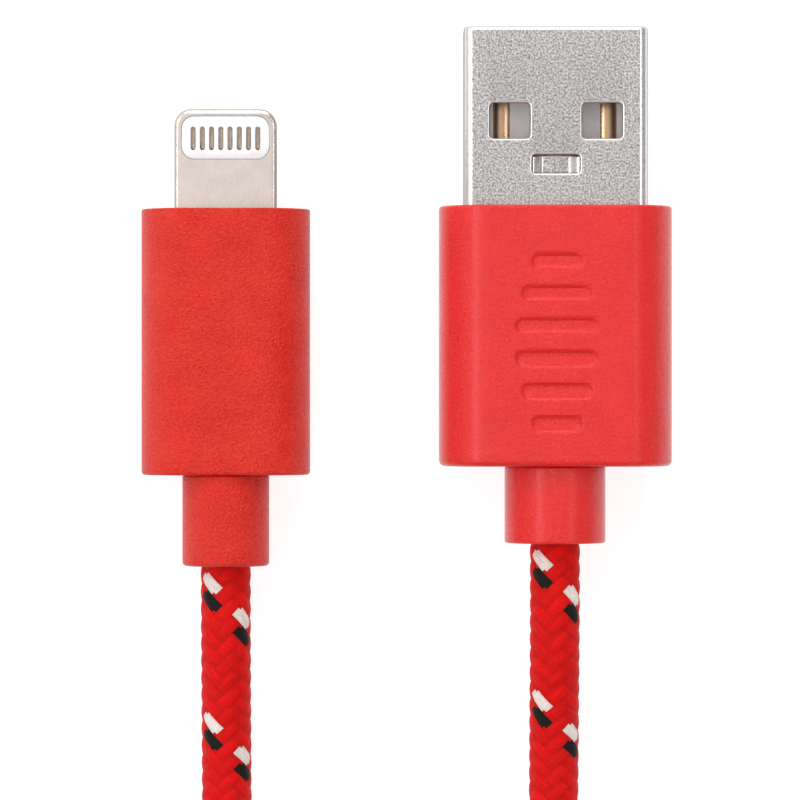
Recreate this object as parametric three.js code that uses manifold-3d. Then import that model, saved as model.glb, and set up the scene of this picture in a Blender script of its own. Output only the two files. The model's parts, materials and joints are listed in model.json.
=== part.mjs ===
// Charging cable: a type A plug and a slim reversible eight-contact plug, joined by one braided cord.
// Millimetres, +Z up. The cable lies on z = 0 with both plugs pointing along +Y, and the origin is on
// that surface under the middle of the two plugs. The cord's spare length is wound into a tied coil.
// Each plug has a frame of its own: y = 0 is its housing's front face, z = 0 is its axis.

import * as THREE from 'three';
import { mergeVertices } from 'three/addons/utils/BufferGeometryUtils.js';
import Module from 'manifold-3d';

const wasm = await Module();
wasm.setup();

// Type A plug
const A_PLACE = [9.75, 5.92, 4.0];
const A_HOUSING = { width: 15.2, height: 8.0, radius: 3.2, length: 16.95 };
const A_COLLAR = { width: 6.6, height: 6.2, radius: 3.0, length: 5.02 };
const A_CHAMBER = { width: 13.4, height: 6.4, radius: 2.0 };
const SHELL_WIDTH = 12.0;
const SHELL_HEIGHT = 4.5;
const SHELL_SHEET = 0.3;
const SHELL_FOLD = 0.6;
const SHELL_REACH = 11.66;
const SHELL_TAIL = 7.5;
const SHELL_WINDOW = { width: 2.6, length: 2.3, radius: 0.25, behindTip: 6.15, offset: 3.0 };
const SHELL_LATCH = { width: 3.1, length: 1.2, radius: 0.2, behindTip: 8.95, depth: 0.6 };
const TONGUE_TOP = -0.05;
const TONGUE_TIP = 10.9;
const TONGUE_BLOCK = 1.7;
const A_CONTACT_WIDTH = 1.0;
const A_CONTACT_SHEET = 0.2;
const A_CONTACTS = [
  { x: -3.5, tip: 9.9 },
  { x: -1.0, tip: 8.9 },
  { x: 1.0, tip: 8.9 },
  { x: 3.5, tip: 9.9 },
];
const GRIP_WIDTHS = [3.2, 4.5, 5.3, 5.3, 4.5, 3.2];
const GRIP = { bar: 0.9, pitch: 2.1, depth: 0.2, middle: -8.9 };

// Eight-contact plug
const E_PLACE = [-11.82, 5.78, 3.2];
const E_HOUSING = { width: 11.06, height: 6.4, radius: 3.1, length: 17.4 };
const E_COLLAR = { width: 5.7, height: 5.7, radius: 2.84, length: 5.96 };
const E_CHAMBER = { width: 9.5, height: 4.9, radius: 2.3 };
const BLADE = { width: 6.7, height: 1.5, reach: 6.57, tail: 3.0, corner: 1.1, edge: 0.25 };
const INSERT = { width: 5.8, length: 2.8, radius: 0.85, middle: 4.66 };
const PAD = { width: 0.28, length: 1.5, sheet: 0.17, pitch: 0.605, middle: 4.64, count: 8 };
const BOARD = { width: 7.4, nose: 5.0, sheet: 0.76, front: 3.2, shoulder: -3.2, rear: -10.6 };

// Both plugs
const WALL = 1.0;
const EDGE = 0.3;
const SLIP = 0.05;
const ROUND_SIDES = 16;
const NECK_RADIUS = 2.2;
const FLANGE = 0.7;
const FERRULE = { inner: 1.64, outer: 1.9, length: 2.0 };
const CABLE_END_RADIUS = 1.6;
const WIRE_DIAMETER = 0.85;
const WIRE_STEPS = 5;
const WIRE_SIDES = 6;
const WIRE_COLOURS = { power: 0xb02020, data_minus: 0xe8e8e0, data_plus: 0x2c8a3c, ground: 0x202020 };
const WIRE_ENDS = [[-0.6, 0.6], [-0.6, -0.6], [0.6, -0.6], [0.6, 0.6]];

// Cord: 1000 mm from collar to collar, of which the two leads below are about 133 mm
const CORD_DIAMETER = 3.3;
const CORD_REST = CORD_DIAMETER / 2 + 0.02;
const CORD_SIDES = 8;
const CORD_GAP = 0.3;
const LEAD_STEPS = 24;
const COIL_CENTRE = [-1.035, -80];
const COIL_RADIUS = 18.3;
const TURN_PITCH = 3.4;
const TURN_COLUMNS = 4;
const TURN_LAYERS = 2;
const TIE = { width: 9, sheet: 0.7, lift: 0.7 };

// The leads' centrelines, from each collar's end to where the lead reaches the side of the coil
const E_LEAD = [
  [-11.82, -17.9, 3.2], [-11.82, -21, 3.15], [-11.82, -24.5, 2.8], [-11.82, -28, 2.25],
  [-11.82, -31.5, 1.8], [-11.82, -35, 1.67], [-12.0, -38.5, 1.67], [-12.8, -42.4, 1.67],
  [-14.3, -46.2, 1.67], [-16.3, -49.8, 1.67], [-18.5, -53.2, 1.67], [-20.7, -56.8, 1.67],
  [-22.5, -60.6, 1.67], [-23.8, -64.6, 1.67],
];
const A_LEAD = [
  [9.75, -16.37, 4.0], [9.75, -20, 3.9], [9.75, -23.5, 3.4], [9.75, -27, 2.6],
  [9.75, -30.5, 1.95], [9.75, -34, 1.67], [9.85, -37.5, 1.67], [10.5, -41.4, 1.67],
  [11.9, -45.4, 1.7], [13.8, -49.2, 1.9], [16.0, -52.8, 2.3], [18.3, -56.4, 2.85],
  [20.3, -60.4, 3.4], [21.7, -64.6, 3.95],
];

// Shapes

function roundedRect(width, height, radius, x = 0, y = 0) {
  const shape = new THREE.Shape();
  const right = width / 2 - radius;
  const top = height / 2 - radius;
  shape.absarc(x + right, y + top, radius, 0, Math.PI / 2);
  shape.absarc(x - right, y + top, radius, Math.PI / 2, Math.PI);
  shape.absarc(x - right, y - top, radius, Math.PI, Math.PI * 1.5);
  shape.absarc(x + right, y - top, radius, Math.PI * 1.5, Math.PI * 2);
  shape.closePath();
  return shape;
}

function polygon(points) {
  return new THREE.Shape(points.map(([x, y]) => new THREE.Vector2(x, y)));
}

function extrude(shape, depth, edge, curveSegments) {
  const bevel = {
    bevelEnabled: edge > 0,
    bevelThickness: edge,
    bevelSize: edge,
    bevelOffset: -edge,
    bevelSegments: 1,
  };
  const geometry = new THREE.ExtrudeGeometry(shape, { depth: depth - 2 * edge, curveSegments, ...bevel });
  return geometry.translate(0, 0, edge);
}

// A bar along Y from front back to rear, whose section is drawn in X and Z.
function bar(shape, front, rear, edge = 0, curveSegments = 4) {
  return extrude(shape, front - rear, edge, curveSegments).rotateX(Math.PI / 2).translate(0, front, 0);
}

// A plate lying flat from bottom up to top, whose outline is drawn in X and Y.
function plate(shape, bottom, top, edge = 0, curveSegments = 3) {
  return extrude(shape, top - bottom, edge, curveSegments).translate(0, 0, bottom);
}

// A strip centred on x, whose profile is drawn in Y and Z.
function strip(shape, width, x) {
  const alongX = new THREE.Matrix4().set(0, 0, 1, 0, 1, 0, 0, 0, 0, 1, 0, 0, 0, 0, 0, 1);
  return extrude(shape, width, 0, 4).applyMatrix4(alongX).translate(x - width / 2, 0, 0);
}

function block([x0, x1], [y0, y1], [z0, z1]) {
  const geometry = new THREE.BoxGeometry(x1 - x0, y1 - y0, z1 - z0);
  return geometry.translate((x0 + x1) / 2, (y0 + y1) / 2, (z0 + z1) / 2);
}

function rod(radius, front, rear) {
  const geometry = new THREE.CylinderGeometry(radius, radius, front - rear, ROUND_SIDES);
  return geometry.translate(0, (front + rear) / 2, 0);
}

function sleeve(inner, outer, front, rear) {
  const profile = [[inner, rear], [outer, rear], [outer, front], [inner, front], [inner, rear]];
  return new THREE.LatheGeometry(profile.map(([x, y]) => new THREE.Vector2(x, y)), ROUND_SIDES);
}

function tube(points, diameter, sides, steps) {
  const section = new THREE.Shape();
  for (let side = 0; side < sides; side += 1) {
    const angle = (2 * Math.PI * side) / sides;
    const place = [Math.cos(angle) * diameter / 2, Math.sin(angle) * diameter / 2];
    if (side === 0) {
      section.moveTo(...place);
    } else {
      section.lineTo(...place);
    }
  }
  section.closePath();
  const extrudePath = new THREE.CatmullRomCurve3(points.map((point) => new THREE.Vector3(...point)));
  return new THREE.ExtrudeGeometry(section, { steps, extrudePath });
}

// Cutting and joining

function toSolid(geometry) {
  const bare = geometry.clone();
  bare.deleteAttribute('normal');
  bare.deleteAttribute('uv');
  const merged = mergeVertices(bare, 1e-4);
  return new wasm.Manifold(new wasm.Mesh({
    numProp: 3,
    vertProperties: new Float32Array(merged.attributes.position.array),
    triVerts: new Uint32Array(merged.index.array),
  }));
}

function toGeometry(solid) {
  const mesh = solid.getMesh();
  const geometry = new THREE.BufferGeometry();
  geometry.setAttribute('position', new THREE.BufferAttribute(mesh.vertProperties, 3));
  geometry.setIndex(new THREE.BufferAttribute(mesh.triVerts, 1));
  const flat = geometry.toNonIndexed();
  flat.computeVertexNormals();
  return flat;
}

function join(...geometries) {
  return toGeometry(geometries.map(toSolid).reduce((whole, piece) => whole.add(piece)));
}

function cut(geometry, ...tools) {
  return toGeometry(tools.map(toSolid).reduce((whole, tool) => whole.subtract(tool), toSolid(geometry)));
}

// Materials

const look = (color, roughness, metalness) => () => (
  new THREE.MeshStandardMaterial({ color, roughness, metalness })
);
const RED_VINYL = look(0xe03c36, 0.45, 0);
const PLATED_STEEL = look(0xb8b5b2, 0.35, 0.9);
const BLADE_METAL = look(0xcfc6c0, 0.3, 0.9);
const BRASS = look(0xb08d5a, 0.35, 0.9);
const GOLD_PAD = look(0xab9a8c, 0.35, 0.8);
const WHITE_PLASTIC = look(0xf2f1f0, 0.5, 0);
const GREY_PLASTIC = look(0xa59b9b, 0.5, 0);
const NATURAL_PLASTIC = look(0xd9d4c4, 0.6, 0);
const GREEN_BOARD = look(0x1f5f3a, 0.5, 0);
const BLACK_PLASTIC = look(0x1b1b1c, 0.5, 0);
const RED_BRAID = look(0xc8201e, 0.8, 0);
const BLACK_WEBBING = look(0x1a1a1c, 0.9, 0);
const CERAMIC = look(0xb9a58a, 0.6, 0);

function add(group, name, geometry, material) {
  const mesh = new THREE.Mesh(geometry, material());
  mesh.name = name;
  group.add(mesh);
}

// Pieces that both plugs have

function hollowHousing(housing, chamber, opening) {
  const { width, height, radius, length } = housing;
  return cut(
    bar(roundedRect(width, height, radius), 0, -length, EDGE, 8),
    bar(opening, 1, -WALL - SLIP),
    bar(roundedRect(chamber.width, chamber.height, chamber.radius), -WALL, WALL - length),
    rod(NECK_RADIUS + SLIP, -length + WALL + SLIP, -length - 1),
  );
}

// A flange held inside the housing, a neck through its rear wall, and the collar behind it.
function strainRelief(housing, chamber, collar) {
  const wallFront = WALL - housing.length;
  const collarFront = -housing.length - SLIP;
  const collarRear = -housing.length - collar.length;
  const flangeHeight = chamber.height - 4 * SLIP;
  const flange = roundedRect(chamber.width - 2, flangeHeight, chamber.radius);
  return cut(
    join(
      bar(flange, wallFront + FLANGE, wallFront + SLIP),
      rod(NECK_RADIUS, wallFront + FLANGE / 2, collarFront - WALL),
      bar(roundedRect(collar.width, collar.height, collar.radius), collarFront, collarRear, EDGE, 8),
    ),
    rod(CABLE_END_RADIUS + SLIP, 0, collarRear - 1),
  );
}

// The moulding inside the housing: a pocket for the connector's rear and a bore for the ferrule.
function innerMould(housing, chamber, pocket, pocketRear) {
  const rear = WALL - housing.length + FLANGE + SLIP;
  const outline = roundedRect(chamber.width - 4 * SLIP, chamber.height - 4 * SLIP, chamber.radius);
  return cut(
    bar(outline, -WALL - SLIP, rear),
    bar(pocket, 0, pocketRear),
    rod(FERRULE.outer + SLIP, pocketRear + SLIP, rear - 1),
  );
}

function addCableEnd(group, prefix, housing, collar, wireStarts, wireMaterials) {
  const ferruleRear = WALL - housing.length + FLANGE + 2 * SLIP;
  const ferruleFront = ferruleRear + FERRULE.length;
  const cableFront = ferruleFront + 0.5;
  const ferrule = sleeve(FERRULE.inner, FERRULE.outer, ferruleFront, ferruleRear);
  add(group, `${prefix}_crimp_ferrule`, ferrule, PLATED_STEEL);
  const cableEnd = rod(CABLE_END_RADIUS, cableFront, -housing.length - collar.length);
  add(group, `${prefix}_cable_end`, cableEnd, BLACK_PLASTIC);
  Object.entries(wireMaterials).forEach(([name, color], index) => {
    const [x, y, z] = wireStarts[index];
    const [endX, endZ] = WIRE_ENDS[index];
    const endY = cableFront + CORD_GAP;
    const route = [
      [x, y, z],
      [x * 0.8 + endX * 0.2, y * 0.7 + endY * 0.3, z * 0.8 + endZ * 0.2],
      [x * 0.2 + endX * 0.8, y * 0.3 + endY * 0.7, z * 0.2 + endZ * 0.8],
      [endX, endY, endZ],
    ];
    const wire = tube(route, WIRE_DIAMETER, WIRE_SIDES, WIRE_STEPS);
    add(group, `${prefix}_wire_${name}`, wire, look(color, 0.5, 0));
  });
}

// Type A plug

function typeAShell() {
  const innerWidth = SHELL_WIDTH - 2 * SHELL_SHEET;
  const innerHeight = SHELL_HEIGHT - 2 * SHELL_SHEET;
  const top = SHELL_HEIGHT / 2;
  const windowY = SHELL_REACH - SHELL_WINDOW.behindTip;
  const latchY = SHELL_REACH - SHELL_LATCH.behindTip;
  const windows = [-1, 1].map((side) => {
    const { width, length, radius, offset } = SHELL_WINDOW;
    return plate(roundedRect(width, length, radius, side * offset, windowY), -top - 1, top + 1);
  });
  const slot = roundedRect(SHELL_LATCH.width, SHELL_LATCH.length, SHELL_LATCH.radius, 0, latchY);
  const tabHalf = SHELL_LATCH.width / 2 - 0.12;
  const tab = block(
    [-tabHalf, tabHalf],
    [latchY - SHELL_LATCH.length / 2 + 0.12, latchY + SHELL_LATCH.length / 2 + 0.5],
    [top - SHELL_LATCH.depth, top - SHELL_SHEET + SLIP],
  );
  return join(cut(
    bar(roundedRect(SHELL_WIDTH, SHELL_HEIGHT, SHELL_FOLD), SHELL_REACH, -SHELL_TAIL),
    bar(roundedRect(innerWidth, innerHeight, SHELL_FOLD - SHELL_SHEET), SHELL_REACH + 1, -SHELL_TAIL - 1),
    ...windows,
    plate(slot, 0, top + 1),
  ), tab);
}

// The insulator: a thin tongue below the open half of the shell, and a full-height block behind it.
function typeATongue() {
  const half = SHELL_HEIGHT / 2 - SHELL_SHEET - SLIP;
  const rear = -SHELL_TAIL + 1;
  const profile = polygon([
    [rear, -half], [TONGUE_TIP, -half], [TONGUE_TIP, TONGUE_TOP], [TONGUE_BLOCK, TONGUE_TOP],
    [TONGUE_BLOCK, half], [rear, half],
  ]);
  const body = strip(profile, SHELL_WIDTH - 2 * SHELL_SHEET - 8 * SLIP, 0);
  const grooves = A_CONTACTS.map(({ x }) => {
    const halfGroove = A_CONTACT_WIDTH / 2 + SLIP;
    const floor = TONGUE_TOP - A_CONTACT_SHEET - SLIP;
    return block([x - halfGroove, x + halfGroove], [rear - 1, TONGUE_TIP + 1], [floor, TONGUE_TOP + SLIP]);
  });
  return cut(body, ...grooves);
}

function typeAContact({ x, tip }) {
  const tail = -SHELL_TAIL - 0.5;
  const floor = TONGUE_TOP - A_CONTACT_SHEET;
  const nose = 0.6;
  const profile = polygon([[tail, floor], [tip, floor], [tip - nose / 4, TONGUE_TOP - 0.08],
    [tip - nose, TONGUE_TOP], [tail, TONGUE_TOP]]);
  return strip(profile, A_CONTACT_WIDTH, x);
}

// A shallow tray behind the shell that the wires lie in.
function typeARearShield() {
  const half = 5.4;
  const wall = 0.25;
  const side = 1.7;
  const section = polygon([
    [-half, side], [-half, -side], [half, -side], [half, side],
    [half - wall, side], [half - wall, wall - side], [wall - half, wall - side], [wall - half, side],
  ]);
  return bar(section, -SHELL_TAIL - CORD_GAP, -SHELL_TAIL - 3.6);
}

function typeAHousing() {
  const opening = roundedRect(SHELL_WIDTH + 2 * SLIP, SHELL_HEIGHT + 2 * SLIP, SHELL_FOLD);
  const top = A_HOUSING.height / 2;
  const firstBar = GRIP.middle + GRIP.pitch * (GRIP_WIDTHS.length - 1) / 2;
  const grip = GRIP_WIDTHS.map((width, index) => plate(
    roundedRect(width, GRIP.bar, GRIP.bar / 2 - 0.01, 0, firstBar - GRIP.pitch * index),
    top - GRIP.depth, top + 1, 0, 3,
  ));
  return cut(hollowHousing(A_HOUSING, A_CHAMBER, opening), ...grip);
}

function typeAPlug() {
  const group = new THREE.Group();
  group.position.set(...A_PLACE);
  add(group, 'type_a_shell', typeAShell(), PLATED_STEEL);
  add(group, 'type_a_tongue', typeATongue(), GREY_PLASTIC);
  A_CONTACTS.forEach((contact, index) => {
    add(group, `type_a_contact_${index + 1}`, typeAContact(contact), BRASS);
  });
  add(group, 'type_a_rear_shield', typeARearShield(), PLATED_STEEL);
  const pocket = roundedRect(SHELL_WIDTH + 4 * SLIP, SHELL_HEIGHT + 4 * SLIP, SHELL_FOLD);
  const mould = innerMould(A_HOUSING, A_CHAMBER, pocket, -SHELL_TAIL - 3.9);
  add(group, 'type_a_inner_mould', mould, NATURAL_PLASTIC);
  add(group, 'type_a_housing', typeAHousing(), RED_VINYL);
  add(group, 'type_a_strain_relief', strainRelief(A_HOUSING, A_CHAMBER, A_COLLAR), RED_VINYL);
  const tails = A_CONTACTS.map(({ x }) => [x, -SHELL_TAIL - 0.8, -0.1]);
  addCableEnd(group, 'type_a', A_HOUSING, A_COLLAR, tails, WIRE_COLOURS);
  return group;
}

// Eight-contact plug

// The metal blade: rounded at its tip, open through both faces for the insert, and slotted behind for
// the circuit board. Each narrow side has a shallow detent.
function bladeFrame() {
  const half = BLADE.width / 2;
  const outline = new THREE.Shape();
  outline.moveTo(-half, -BLADE.tail);
  outline.lineTo(half, -BLADE.tail);
  outline.absarc(half - BLADE.corner, BLADE.reach - BLADE.corner, BLADE.corner, 0, Math.PI / 2);
  outline.absarc(BLADE.corner - half, BLADE.reach - BLADE.corner, BLADE.corner, Math.PI / 2, Math.PI);
  outline.closePath();
  const thick = BLADE.height / 2;
  const windowShape = roundedRect(INSERT.width, INSERT.length, INSERT.radius, 0, INSERT.middle);
  const slotHalf = BOARD.nose / 2 + 2 * SLIP;
  const detents = [-1, 1].map((side) => block(
    [side * half - 0.3, side * half + 0.3], [2.9, 3.9], [-0.3, 0.3],
  ));
  return cut(
    plate(outline, -thick, thick, BLADE.edge, 8),
    plate(windowShape, -thick - 1, thick + 1),
    block([-slotHalf, slotHalf], [-BLADE.tail - 1, BOARD.front + 0.2], [-0.43, 0.43]),
    ...detents,
  );
}

function padPlaces() {
  const places = [];
  for (let index = 0; index < PAD.count; index += 1) {
    places.push((index - (PAD.count - 1) / 2) * PAD.pitch);
  }
  return places;
}

function bladeInsert() {
  const thick = BLADE.height / 2 - 0.01;
  const pocketFloor = thick - PAD.sheet - 0.03;
  const width = INSERT.width - 2 * SLIP;
  const body = plate(
    roundedRect(width, INSERT.length - 2 * SLIP, INSERT.radius, 0, INSERT.middle), -thick, thick,
  );
  const pockets = padPlaces().flatMap((x) => {
    const pocketWidth = PAD.width + 0.06;
    const outline = roundedRect(pocketWidth, PAD.length + 0.06, pocketWidth / 2 - 0.01, x, PAD.middle);
    return [plate(outline, pocketFloor, 1, 0, 2), plate(outline, -1, -pocketFloor, 0, 2)];
  });
  return cut(body, ...pockets);
}

function bladePad(x, face) {
  const outer = BLADE.height / 2 - 0.01;
  const outline = roundedRect(PAD.width, PAD.length, PAD.width / 2 - 0.01, x, PAD.middle);
  const bottom = face > 0 ? outer - PAD.sheet : -outer;
  return plate(outline, bottom, bottom + PAD.sheet, 0, 2);
}

function circuitBoard() {
  const wide = BOARD.width / 2;
  const nose = BOARD.nose / 2;
  const outline = polygon([
    [-wide, BOARD.rear], [wide, BOARD.rear], [wide, BOARD.shoulder], [nose, BOARD.shoulder],
    [nose, BOARD.front], [-nose, BOARD.front], [-nose, BOARD.shoulder], [-wide, BOARD.shoulder],
  ]);
  return plate(outline, -BOARD.sheet / 2, BOARD.sheet / 2);
}

function addBoardComponents(group) {
  const base = BOARD.sheet / 2 + SLIP;
  const chip = plate(roundedRect(2.4, 2.4, 0.1, 0.8, -6.2), base, base + 0.7, 0.08, 2);
  add(group, 'eight_pin_controller_chip', chip, BLACK_PLASTIC);
  const small = [
    ['eight_pin_capacitor_1', -2.3, -5.0, CERAMIC],
    ['eight_pin_capacitor_2', -2.3, -6.4, CERAMIC],
    ['eight_pin_resistor', -2.3, -7.8, BLACK_PLASTIC],
  ];
  small.forEach(([name, x, y, material]) => {
    add(group, name, plate(roundedRect(1.0, 0.5, 0.06, x, y), base, base + 0.45, 0.05, 2), material);
  });
}

function eightPinPlug() {
  const group = new THREE.Group();
  group.position.set(...E_PLACE);
  add(group, 'eight_pin_blade_frame', bladeFrame(), BLADE_METAL);
  add(group, 'eight_pin_insert', bladeInsert(), WHITE_PLASTIC);
  padPlaces().forEach((x, index) => {
    add(group, `eight_pin_upper_contact_${index + 1}`, bladePad(x, 1), GOLD_PAD);
    add(group, `eight_pin_lower_contact_${index + 1}`, bladePad(x, -1), GOLD_PAD);
  });
  add(group, 'eight_pin_circuit_board', circuitBoard(), GREEN_BOARD);
  addBoardComponents(group);
  const can = cut(
    bar(roundedRect(8.4, 3.8, 0.8), -WALL - 3 * SLIP, -11.2),
    bar(roundedRect(8.0, 3.4, 0.6), 0, -12),
  );
  add(group, 'eight_pin_shield_can', can, PLATED_STEEL);
  const pocket = roundedRect(8.5, 3.9, 0.8);
  add(group, 'eight_pin_inner_mould', innerMould(E_HOUSING, E_CHAMBER, pocket, -12.2), NATURAL_PLASTIC);
  const opening = roundedRect(BLADE.width + 2 * SLIP, BLADE.height + 2 * SLIP, BLADE.edge);
  add(group, 'eight_pin_housing', hollowHousing(E_HOUSING, E_CHAMBER, opening), RED_VINYL);
  add(group, 'eight_pin_strain_relief', strainRelief(E_HOUSING, E_CHAMBER, E_COLLAR), RED_VINYL);
  const pads = [-2.4, -0.8, 0.8, 2.4].map((x) => [x, BOARD.rear - CORD_GAP, 0]);
  addCableEnd(group, 'eight_pin', E_HOUSING, E_COLLAR, pads, WIRE_COLOURS);
  return group;
}

// Cord

function coilSection() {
  const halfWidth = ((TURN_COLUMNS - 1) * TURN_PITCH + CORD_DIAMETER) / 2;
  const height = TURN_LAYERS * CORD_DIAMETER;
  return { halfWidth, height };
}

// The outer shape of all the coil's turns. The tie passes under them and straight up their inner side.
function coil() {
  const { halfWidth, height } = coilSection();
  const corner = 1.0;
  const inner = COIL_RADIUS - halfWidth;
  const outer = COIL_RADIUS + halfWidth;
  const profile = [
    [inner, corner], [inner + corner, 0], [outer - corner, 0], [outer, corner],
    [outer, height - corner], [outer - corner, height], [inner + corner, height],
    [inner, height - corner], [inner, corner],
  ];
  const ring = new THREE.LatheGeometry(profile.map(([x, y]) => new THREE.Vector2(x, y)), 48);
  ring.rotateX(Math.PI / 2);
  const notch = TIE.width / 2 + CORD_GAP;
  const underTie = block([-notch, notch], [-outer - 1, -inner + 1], [-1, TIE.sheet + CORD_GAP]);
  const insideTie = block([-notch, notch], [-inner, -inner + 2], [-1, height + 1]);
  return cut(ring, underTie, insideTie);
}

// A strap wrapped once round all the turns.
function tie() {
  const { halfWidth, height } = coilSection();
  const inside = { width: 2 * halfWidth + 2 * CORD_GAP, height: height + TIE.lift };
  const outside = { width: inside.width + 2 * TIE.sheet, height: inside.height + 2 * TIE.sheet };
  const band = roundedRect(outside.width, outside.height, 1.0);
  band.holes.push(roundedRect(inside.width, inside.height, 0.4));
  const geometry = extrude(band, TIE.width, 0, 6);
  geometry.translate(0, outside.height / 2, -TIE.width / 2);
  return geometry.rotateX(Math.PI / 2).rotateZ(Math.PI / 2);
}

function addCord(group) {
  add(group, 'cord_lead_eight_pin', tube(E_LEAD, CORD_DIAMETER, CORD_SIDES, LEAD_STEPS), RED_BRAID);
  add(group, 'cord_lead_type_a', tube(A_LEAD, CORD_DIAMETER, CORD_SIDES, LEAD_STEPS), RED_BRAID);
  const [x, y] = COIL_CENTRE;
  add(group, 'cord_coil', coil().translate(x, y, 0), RED_BRAID);
  add(group, 'cord_tie', tie().translate(x, y - COIL_RADIUS, 0), BLACK_WEBBING);
}

const cable = new THREE.Group();
cable.add(typeAPlug(), eightPinPlug());
addCord(cable);

export default cable;
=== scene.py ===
"""The looks of a charging cable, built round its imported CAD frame. Metres, +Z up, as in the frame."""

import json
import math

import bmesh
import bpy
import numpy as np
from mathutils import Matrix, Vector


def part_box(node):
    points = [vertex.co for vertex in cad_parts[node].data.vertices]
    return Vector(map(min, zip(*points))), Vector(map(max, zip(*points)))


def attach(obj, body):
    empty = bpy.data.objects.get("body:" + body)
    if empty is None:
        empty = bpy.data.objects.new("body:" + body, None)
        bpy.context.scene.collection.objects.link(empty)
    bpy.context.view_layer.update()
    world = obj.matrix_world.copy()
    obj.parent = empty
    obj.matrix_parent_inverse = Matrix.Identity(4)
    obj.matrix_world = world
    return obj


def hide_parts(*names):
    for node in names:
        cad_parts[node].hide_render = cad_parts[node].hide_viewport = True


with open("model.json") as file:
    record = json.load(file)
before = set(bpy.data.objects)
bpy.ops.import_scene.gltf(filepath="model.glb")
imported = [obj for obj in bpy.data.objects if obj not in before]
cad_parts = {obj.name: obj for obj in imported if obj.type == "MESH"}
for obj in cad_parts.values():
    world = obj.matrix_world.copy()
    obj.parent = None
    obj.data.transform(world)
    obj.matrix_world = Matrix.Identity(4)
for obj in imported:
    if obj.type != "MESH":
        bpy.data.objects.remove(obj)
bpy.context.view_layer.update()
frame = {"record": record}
MM = 0.001


def box_mm(node):
    """A CAD node's lowest and highest corners, in millimetres."""
    low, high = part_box(node)
    return np.array(low) / MM, np.array(high) / MM


def add_object(name, data):
    """A new object in the scene."""
    made = bpy.data.objects.new(name, data)
    bpy.context.scene.collection.objects.link(made)
    return made


def new_mesh(name, vertices, faces):
    mesh = bpy.data.meshes.new(name)
    mesh.from_pydata([tuple(v) for v in vertices], [], faces)
    return mesh


def plug_places(plug):
    """A plug's origin, on its axis at its housing's front face, the housing's length and the cord's exit."""
    low, high = box_mm(f"{plug}_housing")
    middle = (low + high) / 2
    origin = np.array([middle[0], high[1], middle[2]])
    cord_exit = np.array([middle[0], box_mm(f"{plug}_strain_relief")[0][1], middle[2]])
    return origin, high[1] - low[1], cord_exit


A_ORIGIN, _, A_EXIT = plug_places("type_a")
E_ORIGIN, _, E_EXIT = plug_places("eight_pin")

# Cord and coil, in millimetres. The cord starts CORD_INSIDE each collar's end, and rests at CORD_FLOOR.
CORD_DIAMETER = 3.3
CORD_INSIDE = 1.0
CORD_FLOOR = 1.67
LAYER_RISE = 3.3
COIL_RADIUS = 18.3
TURN_PITCH = 3.4
TURNS = 7.5
# The turns' places side by side, counted inwards, and their layers, in the order they are wound
COLUMNS = [3.1, 2, 1, 0, 0, 1, 2, 3.1]
MIDDLE_COLUMN = 1.5
LAYERS = [0, 0, 0, 0, 1, 1, 1, 1]
# A turn moves over to the next place within this much of its way round
SHIFT_DEGREES = 90
POINTS_PER_TURN = 36
TIE_SHEET = 0.7
TIE_WIDTH = 9.0
TIE_CORNER = 1.5
TIE_LAP = 3.4
TIE_PLAY = 0.04
TIE_SIDE_PLAY = 0.1
TIE_EDGE = 0.16
# How far from the tie's edge the turns come down again
TIE_RAMP = 12

# The leads' routes as in the CAD source, each with its run-in to the coil's side
E_LEAD = [
    (-11.82, -17.9, 3.2), (-11.82, -21, 3.15), (-11.82, -24.5, 2.8), (-11.82, -28, 2.25),
    (-11.82, -31.5, 1.8), (-11.82, -35, 1.67), (-12.0, -38.5, 1.67), (-12.8, -42.4, 1.67),
    (-14.3, -46.2, 1.67), (-16.3, -49.8, 1.67), (-18.5, -53.2, 1.67), (-20.7, -56.8, 1.67),
    (-22.5, -60.6, 1.67), (-23.8, -64.6, 1.67), (-24.5, -69.2, 1.67), (-24.75, -74.5, 1.67),
]
A_LEAD = [
    (9.75, -16.37, 4.0), (9.75, -20, 3.9), (9.75, -23.5, 3.4), (9.75, -27, 2.6),
    (9.75, -30.5, 1.95), (9.75, -34, 1.67), (9.85, -37.5, 1.67), (10.5, -41.4, 1.67),
    (11.9, -45.4, 1.7), (13.8, -49.2, 1.9), (16.0, -52.8, 2.3), (18.3, -56.4, 2.85),
    (20.3, -60.4, 3.4), (21.7, -64.6, 3.95), (22.4, -69.2, 4.45), (22.68, -74.5, 4.8),
]

# Braid: eight yarns each way, two over and two under. FLECK_ANGLE degrees from the top and
# FLECK_AFTER_EXIT millimetres behind each collar is where the white yarn comes up first. The mesh has
# FINE_CELL cells to a yarn's width for FINE_LENGTH millimetres at both ends, and COARSE_CELL between.
CARRIERS = 8
BRAID_PITCH = 9.1
BRAID_RELIEF = 0.105
FLECK_ANGLE = 39
FLECK_AFTER_EXIT = 1.1
FINE_LENGTH = 36.0
FINE_CELL = 4
COARSE_CELL = 2


# Camera, light and floor

# The camera looks straight down; centre, width and height are in millimetres
VIEW_CENTRE = (-0.39, -6.71)
VIEW_WIDTH = 52.36
CAMERA_HEIGHT = 290.0
SENSOR = 36.0
FLOOR_WIDTH = 6.0
# What the floor gives of itself, and how much of the light on it comes back
FLOOR_GLOW = 0.84
FLOOR_SHADE = 0.3
# The soft tent round the plugs: its brightness on the left and on the right, and where it changes
WORLD_BRIGHTNESS = (0.56, 0.42)
WORLD_FALL = (-0.2, 0.25)
HORIZON_BRIGHTNESS = 0.62
HORIZON_HEIGHT = 0.5
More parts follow.
